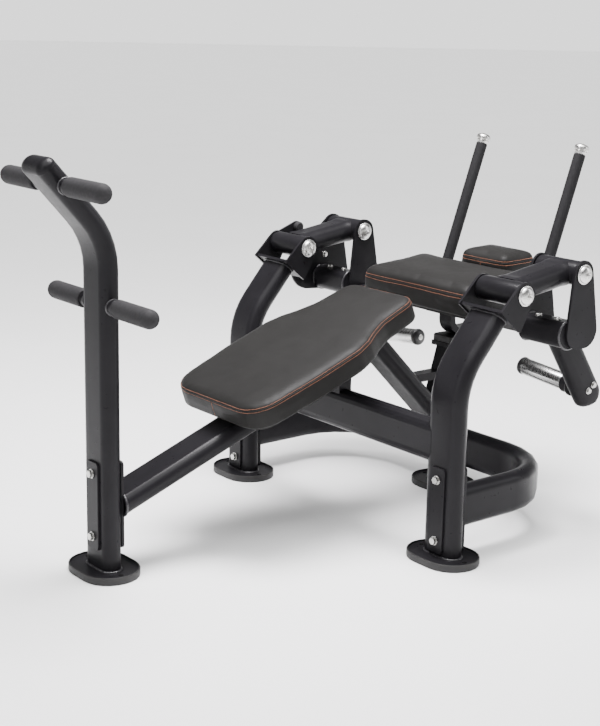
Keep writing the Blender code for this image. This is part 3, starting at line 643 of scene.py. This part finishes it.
def make_pad(name, node, body, low, seam_point, up, cap, crown, voxel):
    """A sewn pad: a swollen cover with a raised crown, piping at its seam and two rows of
    stitches. Gives back the cover's surface, for more stitches, and the stitches."""
    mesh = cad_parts[node].data.copy()
    middle = centre(node)
    shape = bmesh.new()
    shape.from_mesh(mesh)
    bmesh.ops.remove_doubles(shape, verts=shape.verts, dist=SAME_PLACE)
    for v in shape.verts:
        flat = v.co - middle
        flat -= up * flat.dot(up)
        v.co -= flat.normalized() * COVER_INSET
    shape.to_mesh(mesh)
    shape.free()
    pad = new_object(name, mesh, VINYL, body)
    remesh = pad.modifiers.new("remesh", "REMESH")
    remesh.mode = "VOXEL"
    remesh.voxel_size = voxel
    graph = bpy.context.evaluated_depsgraph_get()
    fine = bpy.data.meshes.new_from_object(pad.evaluated_get(graph))
    pad.modifiers.clear()
    pad.data = fine
    swell(pad, cap, low, up)

    outline = plane_outline(node, seam_point, up)
    ways = outward(outline, up)
    up_row = np.array(up)
    # how high each point is above the seam's plane, and how far in from the seam
    points = points_of(pad.data)
    ring = np.array([list(p) for p in outline])
    rise = (points - np.array(seam_point)) @ up_row
    flat = points - rise[:, None] * up_row
    ring_flat = ring - ((ring - np.array(seam_point)) @ up_row)[:, None] * up_row
    near = np.full(len(points), np.inf)
    for start in range(0, len(ring_flat), 60):
        part = ring_flat[start:start + 60]
        gap = np.linalg.norm(flat[:, None, :] - part[None, :, :], axis=2).min(1)
        near = np.minimum(near, gap)
    inner = np.clip(near / CROWN_REACH, 0.0, 1.0)
    top = np.clip(rise / CROWN_EDGE, 0.0, 1.0)
    lift = crown * top * np.sin(inner * math.pi / 2)
    points += lift[:, None] * up_row
    bottom = np.array(low) @ up_row
    above = points @ up_row - bottom
    depth = (np.array(seam_point) @ up_row) - bottom
    belly = np.clip(above / depth, 0.0, 1.0)
    waist = np.sin(belly * math.pi) * WAIST_BULGE * (rise < 0) * (near < WAIST_REACH)
    centre_flat = ring_flat.mean(0)
    away = flat - centre_flat
    away /= np.maximum(np.linalg.norm(away, axis=1)[:, None], 1e-6)
    points += away * waist[:, None]
    groove = np.exp(-((rise - 0.0005) / GROOVE_HIGH) ** 2) * np.exp(-((near / GROOVE_IN) ** 2))
    points -= away * (GROOVE_DEPTH * groove)[:, None]
    pad.data.vertices.foreach_set("co", points.ravel())
    pad.data.update()
    # the cover is eased and made finer, and then takes the CAD pad's place
    smooth = pad.modifiers.new("ease", "SMOOTH")
    smooth.factor = 0.5
    smooth.iterations = 8
    subdivision = pad.modifiers.new("fine", "SUBSURF")
    subdivision.levels = 1
    subdivision.render_levels = 1
    bpy.context.view_layer.update()
    graph = bpy.context.evaluated_depsgraph_get()
    final = bpy.data.meshes.new_from_object(pad.evaluated_get(graph))
    pad.modifiers.clear()
    pad.data = final
    shade(final, VINYL)
    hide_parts(node)

    tree = BVHTree.FromPolygons(
        [v.co.copy() for v in final.vertices], [tuple(f.vertices) for f in final.polygons]
    )

    def on_cover(out, rise):
        """The cover's points and normals beside the seam, this far outward and up from it."""
        return [tree.find_nearest(p + way * out + up * rise)[:2] for p, way in zip(outline, ways)]

    stitches = stitch_row(on_cover(-0.0036, 0.0060), closed=True)
    stitches += stitch_row(on_cover(0.0060, -0.0030), closed=True)
    welt = [hit - normal * 0.0007 for hit, normal in on_cover(0.004, 0.0022)]
    welt.append(welt[0])
    piping = new_object(f"{name}_welt", merged([cord_tube(welt, WELT_RADIUS)]), VINYL, body)
    return tree, stitches


def cord_tube(path, radius):
    """A thin tube along a path, with its first ring carried along it so that it doesn't twist."""
    rings = []
    side = None
    for i, point in enumerate(path):
        before, after = path[max(i - 1, 0)], path[min(i + 1, len(path) - 1)]
        along = (after - before).normalized()
        side = along.orthogonal() if side is None else side - along * side.dot(along)
        side = side.normalized()
        other = along.cross(side)
        turns = [2 * math.pi * j / 8 for j in range(8)]
        rings.append([point + (side * math.cos(t) + other * math.sin(t)) * radius for t in turns])
    return skin(rings)


STITCH_LENGTH = 0.0034
THREAD_RADIUS = 0.00055


def stitch_row(row, closed):
    """Short threads laid on the surface, one for each step of the row. Their ends dip into it."""
    parts = []
    count = len(row)
    for i in range(count if closed else count - 1):
        here, normal = row[i]
        ahead, _ = row[(i + 1) % count]
        along = ahead - here
        if along.length < 1e-5:
            continue
        along.normalize()
        side = along.cross(normal).normalized()
        up = side.cross(along)
        rings = []
        for s, scale, drop in (
            (-0.5, 0.25, -0.0006), (-0.36, 0.9, 0.0), (0.0, 1.0, 0.00025), (0.36, 0.9, 0.0),
            (0.5, 0.25, -0.0006),
        ):
            reach = s * STITCH_LENGTH + STITCH_LENGTH / 2
            middle = here + along * reach + up * (drop + 0.0002)
            ring = []
            for j in range(6):
                turn = 2 * math.pi * j / 6
                way = side * math.cos(turn) + up * math.sin(turn)
                ring.append(middle + way * THREAD_RADIUS * scale)
            rings.append(ring)
        parts.append(skin(rings))
    return parts


def front_seam(tree, top, down, out, run):
    """A short row of stitches down the middle of a pad's front face."""
    row = []
    steps = int(run / SEAM_STEP)
    for i in range(steps):
        target = top + down * (0.006 + (run - 0.010) * i / (steps - 1)) + out * 0.01
        hit, normal, _, _ = tree.find_nearest(target)
        row.append((hit, normal))
    return stitch_row(row, closed=False)


BENCH_ANGLE = math.radians(20.9)
BENCH_WAY = Vector((math.cos(BENCH_ANGLE), 0, math.sin(BENCH_ANGLE)))
BENCH_UP = Vector((-math.sin(BENCH_ANGLE), 0, math.cos(BENCH_ANGLE)))
bench_seam = at(0.3306, 0.0, 0.4106) + BENCH_UP * -0.0015
BACK_SLOPE = math.atan(0.085)
BACK_UP = Vector((-math.sin(BACK_SLOPE), 0, math.cos(BACK_SLOPE)))
back_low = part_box("back_pad")[0]
back_seam = Vector((back_low.x, 0.0, 0.6485))
HEAD_SLOPE = math.atan(0.03)
HEAD_UP = Vector((-math.sin(HEAD_SLOPE), 0, math.cos(HEAD_SLOPE)))
head_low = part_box("head_pad")[0]
head_seam = Vector((head_low.x, 0.0, 0.6995))

# Each pad: its name, CAD node and body, a point of its underside, a point of its seam, its way up,
# the most its cover moves, its crown, the size of its mesh, and its front seam's way out and length
PADS = (
    ("bench_cushion", "bench_pad", "frame", bench_seam - BENCH_UP * 0.0585, bench_seam, BENCH_UP,
     0.003, 0.004, 0.0055, -BENCH_WAY, 0.055),
    ("back_cushion", "back_pad", "cradle", Vector((back_low.x, 0, back_low.z)), back_seam, BACK_UP,
     0.004, 0.011, 0.0050, -X, 0.0),
    ("head_cushion", "head_pad", "cradle", Vector((head_low.x, 0, head_low.z)), head_seam, HEAD_UP,
     0.003, 0.010, 0.0040, -X, 0.030),
)
for name, node, body, low, seam, up, cap, crown, voxel, out, front in PADS:
    tree, stitches = make_pad(name, node, body, low, seam, up, cap, crown, voxel)
    if front:
        stitches += front_seam(tree, seam, -up, out, front)
    sewn = new_object(f"{name}_stitching", merged(stitches), THREAD, body)

# ---------------------------------------------------------------- turned metal and rubber


def piece(name, parts, material, body, slot, *stands_for):
    """A rigid piece from (points, faces) parts, in the place of the CAD nodes it stands for."""
    obj = new_object(name, merged(parts), material, body)
    split = obj.modifiers.new("crisp", "EDGE_SPLIT")
    split.split_angle = math.radians(38.0)
    split.use_edge_sharp = False
    if stands_for:
        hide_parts(*stands_for)


def bolt(start, direction, washer_radius, head_radius, head_height):
    """A hexagon bolt head on its washer."""
    head = hex_prism(start + direction * WASHER_THICK, direction, head_radius, head_height)
    return [washer(start, direction, washer_radius), head]


def cap_profile():
    """Half of a pivot pin's outside: washer flange, rolled rim and dome."""
    face = CHEEK_OUT + 0.0003
    half = [(0.0120, face), (0.0275, face), (0.0275, face + 0.0022), (0.0252, face + 0.0030)]
    half += [(0.0243, face + 0.0034)]
    half += dome(0.0240, face + 0.0042, 0.0105)
    return half


def link_rings(low_hub, high_hub):
    """Ovals along a link, which flare where they run into its hubs."""
    way = (high_hub - low_hub).normalized()
    up = way.cross(-Y)
    run = (high_hub - low_hub).length
    flares = [(0.012, 0.0030), (0.026, 0.0030), (0.030, 0.0021), (0.035, 0.0011)]
    flares += [(0.042, 0.0003), (0.050, 0.0)]
    flares += [(run - s, flare) for s, flare in flares[::-1]]
    rings = []
    for s, flare in flares:
        loop = stadium_loop(LINK_WIDE + 2 * flare, LINK_THIN + min(2 * flare, 0.0036), 96)
        rings.append([low_hub + way * s + Y * a + up * b for a, b in loop])
    return rings


for side, sign in SIDES:
    y = sign * SIDE_Y
    for label, pivot, body in (
        ("link", LINK_PIVOT, "frame"), ("cradle", CRADLE_PIVOT, f"link_{side}")
    ):
        start = Vector((pivot.x, y, pivot.z))
        half = rounded(cap_profile(), 0.0007)
        profile = [(r, -s) for r, s in half[::-1]] + half
        parts = [turned(profile, start, Y, 64)]
        name = f"{label}_pin_{side}"
        for face in (-1.0, 1.0):
            top = start + Y * face * (CHEEK_OUT + 0.0144)
            ring = [(0.0098, -0.0025), (0.0098, 0.0004), (0.0088, 0.0008), (0.0070, 0.0008)]
            parts.append(turned(ring, top, Y * face, 36))
            parts.append(hex_prism(top + Y * face * 0.0006, Y * face, 0.0078, 0.0062))
            stud = [(0.0042, 0.0060), (0.0042, 0.0092), (0.0034, 0.0100)]
            parts.append(turned(stud, top, Y * face, 24))
        piece(f"{name}_caps", parts, CHROME, body, "chrome_plate", name)

    # Link: two round hubs and the broad rounded tube between them
    hubs = [Vector((pivot.x, y, pivot.z)) for pivot in (LINK_PIVOT, CRADLE_PIVOT)]
    reach = CHEEK_OUT - PLATE - 0.0015
    hub = [(0.0130, -reach), (0.0340, -reach), (0.0340, reach), (0.0130, reach)]
    parts = [turned(rounded(hub, 0.0020), middle, Y, 72) for middle in hubs]
    parts.append(skin(link_rings(*hubs)))
    piece(f"link_{side}_tube", parts, COAT, f"link_{side}", "black_frame", f"link_{side}")

    # Grip foams
    for level in ("lower", "upper"):
        node = f"grip_{level}_{side}"
        low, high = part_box(node)
        middle = (low + high) / 2
        radius = (high.z - low.z) / 2
        length = high.y - low.y
        start = Vector((middle.x, (low.y if sign > 0 else high.y), middle.z))
        profile = [(0.0155, 0.010), (0.0155, 0.0), (radius - 0.0025, 0.0), (radius - 0.0006, 0.002)]
        profile += [(radius, 0.006), (radius, length * 0.5), (radius, length - radius)]
        profile += dome(radius, length - radius, radius)[1:]
        foam = [turned(profile, start, Y * sign)]
        piece(f"{node}_foam", foam, FOAM, "frame", "grip_rubber", node)

    # Hand levers: plated rod, sleeve with end rings, and domed cap
    foot = at(1.368, sign * 0.203, 0.570)
    head = at(1.541, sign * 0.203, 1.052)
    way, run = (head - foot).normalized(), (head - foot).length
    rod = [(0.004, 0.0165), (0.0125, 0.0165), (0.0125, run - 0.0215), (0.0165, run - 0.0212)]
    rod += [(0.0172, run - 0.016), (0.0192, run - 0.0155), (0.0192, run - 0.0115)]
    rod += [(0.0178, run - 0.0108), (0.0178, run - 0.0095), (0.0224, run - 0.0085)]
    rod += [(0.0226, run - 0.002)] + dome(0.0223, run - 0.001, 0.0115)
    lever = [turned(rounded(rod, 0.0007), foot, way, 56)]
    piece(f"handle_{side}_rod", lever, CHROME, "cradle", "chrome_plate", f"handle_{side}")
    sleeve = [(0.0130, 0.085), (0.0164, 0.085), (0.0176, 0.0865), (0.0176, 0.10)]
    sleeve += [(0.0175, run * 0.6), (0.0176, run - 0.030), (0.0174, run - 0.0225)]
    sleeve += [(0.0130, run - 0.0218)]
    parts = [turned(rounded(sleeve, 0.0008), foot, way, 48)]
    piece(
        f"handle_{side}_grip", parts, SLEEVE, "cradle", "grip_rubber", f"handle_sleeve_{side}"
    )

    # Weight horns with their rings, end caps and screws
    root = at(1.3175, sign * (SIDE_Y - TUBE_THIN / 2 - 0.004), 0.3985)
    tip = at(1.3115, sign * 0.235, 0.4180)
    way, run = (tip - root).normalized(), (tip - root).length
    collar = [(0.004, 0.0), (0.0325, 0.0), (0.0330, 0.003), (0.0330, 0.009), (0.0300, 0.0125)]
    collar += [(0.0290, 0.015), (0.0290, 0.033), (0.0275, 0.0360), (0.0245, 0.0372)]
    collar = [turned(rounded(collar, 0.0012), root, way, 56)]
    piece(f"horn_collar_{side}", collar, COAT, "cradle", "black_frame")
    horn = [(0.004, 0.030), (0.0250, 0.030), (0.0250, run * 0.6), (0.0250, run - 0.0008)]
    horn.append((0.0235, run))
    parts = [turned(rounded(horn, 0.0006), root, way, 64)]
    piece(f"weight_horn_{side}_sleeve", parts, HORN, "cradle", "zinc_steel", f"weight_horn_{side}")
    cap = [(0.010, run + 0.0003), (0.0264, run + 0.0003), (0.0266, run + 0.0070)]
    cap += dome(0.0262, run + 0.0076, 0.0110)
    cap = [turned(rounded(cap, 0.0008), root, way, 56)]
    piece(f"horn_cap_{side}_dome", cap, PLASTIC, "cradle", "black_plastic", f"horn_cap_{side}")
    flange = [(0.0085, 0), (0.0085, 0.0008), (0.0070, 0.0012)]
    screw = [turned(flange, root + way * (run + 0.0180), way, 32)]
    screw.append(hex_prism(root + way * (run + 0.0188), way, 0.0052, 0.0016))
    piece(f"horn_screw_{side}", screw, ZINC, "cradle", "zinc_steel")

    # Bolts on top of the side tube and outside the arm
    parts = []
    for shift in (-0.034, 0.034):
        top = at(1.150, y + shift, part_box(f"side_tube_{side}")[1].z + 0.0001)
        parts += bolt(top, Z, 0.0105, 0.0085, 0.0055)
    outer = Y * sign
    for x, z in ((1.3285, 0.4115), (1.308, 0.3965)):
        top = at(x, y + sign * (TUBE_THIN / 2 + 0.0001), z)
        parts += bolt(top, outer, 0.0095, 0.0078, 0.0050)
    piece(f"cradle_bolts_{side}", parts, ZINC, "cradle", "zinc_steel")

# Loaf-shaped cap on the post's end
POST_TILT = math.radians(42.0)  # how far the post's upper run leans back
post_way = Vector((-math.sin(POST_TILT), 0, math.cos(POST_TILT)))
post_across = post_way.cross(Y)
post_end = at(0.0, 0.0, 0.879) + post_way * 0.2466
steps = [(0.0004, 0.0), (0.0, 0.0006), (0.0, 0.0026)]
for i in range(1, 15):
    turn = math.pi / 2 * i / 14
    steps.append((0.0268 * (1 - math.cos(turn)), 0.0026 + 0.0206 * math.sin(turn)))
rings = []
for inset, rise in steps:
    outline = stadium_loop(TUBE_WIDE - 2 * inset, TUBE_THIN - 2 * inset, 120)
    middle = post_end + post_way * rise
    rings.append([middle + Y * a + post_across * b for a, b in outline])
piece("post_cap", [skin(rings)], COAT, "frame", "black_plastic", "post_end_cap")

# Round bolt head inside the larger hanging plate
stop_face = at(1.160, SIDE_Y + CHEEK_OUT - PLATE - 0.0001, 0.660)
button = [(0.0005, 0.0), (0.0105, 0.0), (0.0105, 0.0018)] + dome(0.0095, 0.0022, 0.0032)
button = [turned(rounded(button, 0.0005), stop_face, -Y, 40)]
piece("plate_button", button, ZINC, "cradle", "zinc_steel")

# ---------------------------------------------------------------- weld beads

LEAN = math.radians(40.0)  # how far a tower's top leans toward the head end
BEAM_SLOPE = math.radians(20.5)
CROSS_TUBE = 0.784  # how far the towers and the cross tube stand from the foot post
PEG_BEAD = 0.0192  # radius of the bead round a grip's peg
SIDE_BEAD = 0.0405  # radius of the bead round a side tube's end
lean_way = Vector((math.sin(LEAN), 0, math.cos(LEAN)))
lean_side = Vector((math.cos(LEAN), 0, -math.sin(LEAN)))
beads = [oval_bead(Vector((POST.x, 0, FOOT_TOP)), Y, X, 0.0040)]
for _, sign in SIDES:
    y = sign * SIDE_Y
    beads.append(oval_bead(Vector((TOWER.x, y, FOOT_TOP)), Y, X, 0.0040))
    top = at(0.913, y, 0.655) - lean_way * 0.001
    beads.append(oval_bead(top, Y, lean_side, 0.0022))
    flange = at(CROSS_TUBE + TUBE_THIN / 2 + PLATE, y, 0.14125)
    beads.append(oval_bead(flange, Z, Y, 0.0032))
    for peg in (at(0, 0, 0.7126), at(-0.127, 0, 1.020)):
        ring = []
        for i in range(49):
            turn = 2 * math.pi * i / 48
            out = peg + X * math.cos(turn) * PEG_BEAD + Z * math.sin(turn) * PEG_BEAD
            ring.append(out + Y * sign * (TUBE_WIDE / 2 - 0.002))
        beads.append(bead(ring, 0.0030, sign))
beads.append(oval_bead(Vector((REAR.x, 0, FOOT_TOP)), Y, X, 0.0038))
beads.append(oval_bead(at(0.0360, 0, 0.185), Y, Z, 0.0034, TUBE_THIN / math.cos(BEAM_SLOPE)))
saddle_top = at(CROSS_TUBE, 0, 0.436)
corners = [(-0.022, -0.032), (0.022, -0.032), (0.022, 0.032), (-0.022, 0.032), (-0.022, -0.032)]
path = []
for (ax, ay), (bx, by) in zip(corners, corners[1:]):
    for i in range(12):
        t = i / 12
        x = ax + (bx - ax) * t
        path.append(saddle_top + Vector((x, ay + (by - ay) * t, x * math.tan(BEAM_SLOPE))))
path.append(path[0])
beads.append(bead(path, 0.0034, 3.0))
weld = new_object("weld_beads", merged(beads), WELD, "frame")

cradle_beads = []
for side, sign in SIDES:
    y = sign * SIDE_Y
    for face in (-1.0, 1.0):
        ring = []
        for i in range(61):
            turn = 2 * math.pi * i / 60
            z = min(math.sin(turn) * SIDE_BEAD, 0.0365)  # flat along the tube's top
            out = at(1.155, y, 0.588) + X * math.cos(turn) * SIDE_BEAD + Z * z
            ring.append(out + Y * face * (CHEEK_OUT - PLATE))
        cradle_beads.append(bead(ring, 0.0032, sign + face))
weld = new_object("cradle_weld_beads", merged(cradle_beads), WELD, "cradle")

# Painted shade for the floor-bolt holes in the foot plates: thin near-black discs laid on the
# plates' tops, with no hole cut
HOLE_OUT = 0.083  # from the middle of the plate
hole_shades = []
for foot in (POST, TOWER, Vector((TOWER.x, -SIDE_Y, 0)), REAR):
    for shift in (-HOLE_OUT, HOLE_OUT):
        rim = Vector((foot.x, foot.y + shift, FOOT_TOP + 0.0002))
        hole_shades.append(turned([(0.0001, 0.0001), (0.0062, 0.0001), (0.0066, 0.0)], rim, Z, 32))
hole_shade = new_object("floor_bolt_hole_shade", merged(hole_shades), HOLE_SHADE, "frame")

# ---------------------------------------------------------------- floor, light and camera


def make_floor():
    size = 60.0  # far enough for its edge to be the horizon
    points = [(-size, -size, 0), (size, -size, 0), (size, size, 0), (-size, size, 0)]
    mesh = mesh_from(points, [(0, 1, 2, 3)])
    mesh.materials.append(floor_paint())
    floor = bpy.data.objects.new("studio_floor", mesh)
    bpy.context.scene.collection.objects.link(floor)


def add_light(name, place, target, size, power, colour):
    """A rectangular lamp at a place, aimed at a target."""
    light = bpy.data.lights.new(name, "AREA")
    light.shape = "RECTANGLE"
    light.size, light.size_y = size
    light.energy = power
    light.color = colour
    obj = bpy.data.objects.new(name, light)
    obj.location = place
    obj.rotation_euler = (Vector(target) - Vector(place)).to_track_quat("-Z", "Y").to_euler()
    bpy.context.scene.collection.objects.link(obj)


def add_sun():
    """A very broad sun, so that the floor is lit evenly as far as the horizon."""
    light = bpy.data.lights.new("sky_sheet", "SUN")
    light.energy = 5.2
    light.angle = 1.25
    obj = bpy.data.objects.new("sky_sheet", light)
    obj.rotation_euler = (0.22, -0.16, 0.0)
    bpy.context.scene.collection.objects.link(obj)


def make_world():
    """A backdrop as pale as the floor at the horizon and dim overhead, and paler behind the
    machine than in front of it."""
    world = bpy.data.worlds.new("studio")
    world.use_nodes = True
    background = world.node_tree.nodes["Background"]
    nodes, links = world.node_tree.nodes, world.node_tree.links

    def smooth_step(value, start, end, low, high):
        node = nodes.new("ShaderNodeMapRange")
        node.interpolation_type = "SMOOTHSTEP"
        node.inputs["From Min"].default_value = start
        node.inputs["From Max"].default_value = end
        node.inputs["To Min"].default_value = low
        node.inputs["To Max"].default_value = high
        links.new(value, node.inputs["Value"])
        return node

    place = nodes.new("ShaderNodeTexCoord")
    split = nodes.new("ShaderNodeSeparateXYZ")
    toward = nodes.new("ShaderNodeVectorMath")
    toward.operation = "DOT_PRODUCT"
    toward.inputs[1].default_value = (0.62, 0.78, 0.0)
    product = nodes.new("ShaderNodeMath")
    product.operation = "MULTIPLY"
    links.new(place.outputs["Generated"], split.inputs["Vector"])
    links.new(place.outputs["Generated"], toward.inputs[0])
    level = smooth_step(split.outputs["Z"], 0.02, 0.36, 1.72, 0.12)
    far = smooth_step(toward.outputs["Value"], -0.45, 0.65, 0.45, 1.0)
    links.new(level.outputs["Result"], product.inputs[0])
    links.new(far.outputs["Result"], product.inputs[1])
    links.new(product.outputs["Value"], background.inputs["Strength"])
    background.inputs["Color"].default_value = (1.0, 1.0, 1.0, 1.0)
    bpy.context.scene.world = world


CAMERA_AZIMUTH = math.radians(-38.463)
CAMERA_DOWN = math.radians(13.308)
CAMERA_ROLL = math.radians(1.096)
CAMERA_LENS = 71.1  # mm, on a sensor 36 mm wide
CAMERA_SHIFT = (0.0113, -0.0185)


def make_camera():
    away = Vector((
        -math.sin(CAMERA_AZIMUTH) * math.cos(CAMERA_DOWN),
        math.cos(CAMERA_AZIMUTH) * math.cos(CAMERA_DOWN),
        -math.sin(CAMERA_DOWN),
    ))
    right = Vector((math.cos(CAMERA_AZIMUTH), math.sin(CAMERA_AZIMUTH), 0))
    up = right.cross(away)
    turned_right = right * math.cos(CAMERA_ROLL) + up * math.sin(CAMERA_ROLL)
    turned_up = up * math.cos(CAMERA_ROLL) - right * math.sin(CAMERA_ROLL)
    camera = bpy.data.cameras.new("camera")
    camera.lens = CAMERA_LENS
    camera.sensor_width = 36.0
    camera.shift_x, camera.shift_y = CAMERA_SHIFT
    camera.dof.use_dof = False
    camera.clip_end = 60.0
    obj = bpy.data.objects.new("camera", camera)
    bpy.context.scene.collection.objects.link(obj)
    matrix = Matrix((turned_right, turned_up, -away)).transposed().to_4x4()
    matrix.translation = at(-1.8079, -3.0451, 1.4342)
    obj.matrix_world = matrix
    bpy.context.scene.camera = obj


make_floor()
make_world()
add_sun()
add_light("overhead", (0.1, 0.1, 3.1), (0, 0, 0.2), (1.6, 1.2), 260.0, (1.0, 0.98, 1.0))
add_light("left_strip", (-3.2, -0.6, 2.2), (0, 0, 0.7), (0.7, 2.4), 24.0, (0.98, 0.97, 1.0))
add_light("right_strip", (2.8, -2.2, 2.0), (0.2, 0, 0.6), (0.7, 2.2), 24.0, (0.98, 0.98, 1.0))
make_camera()
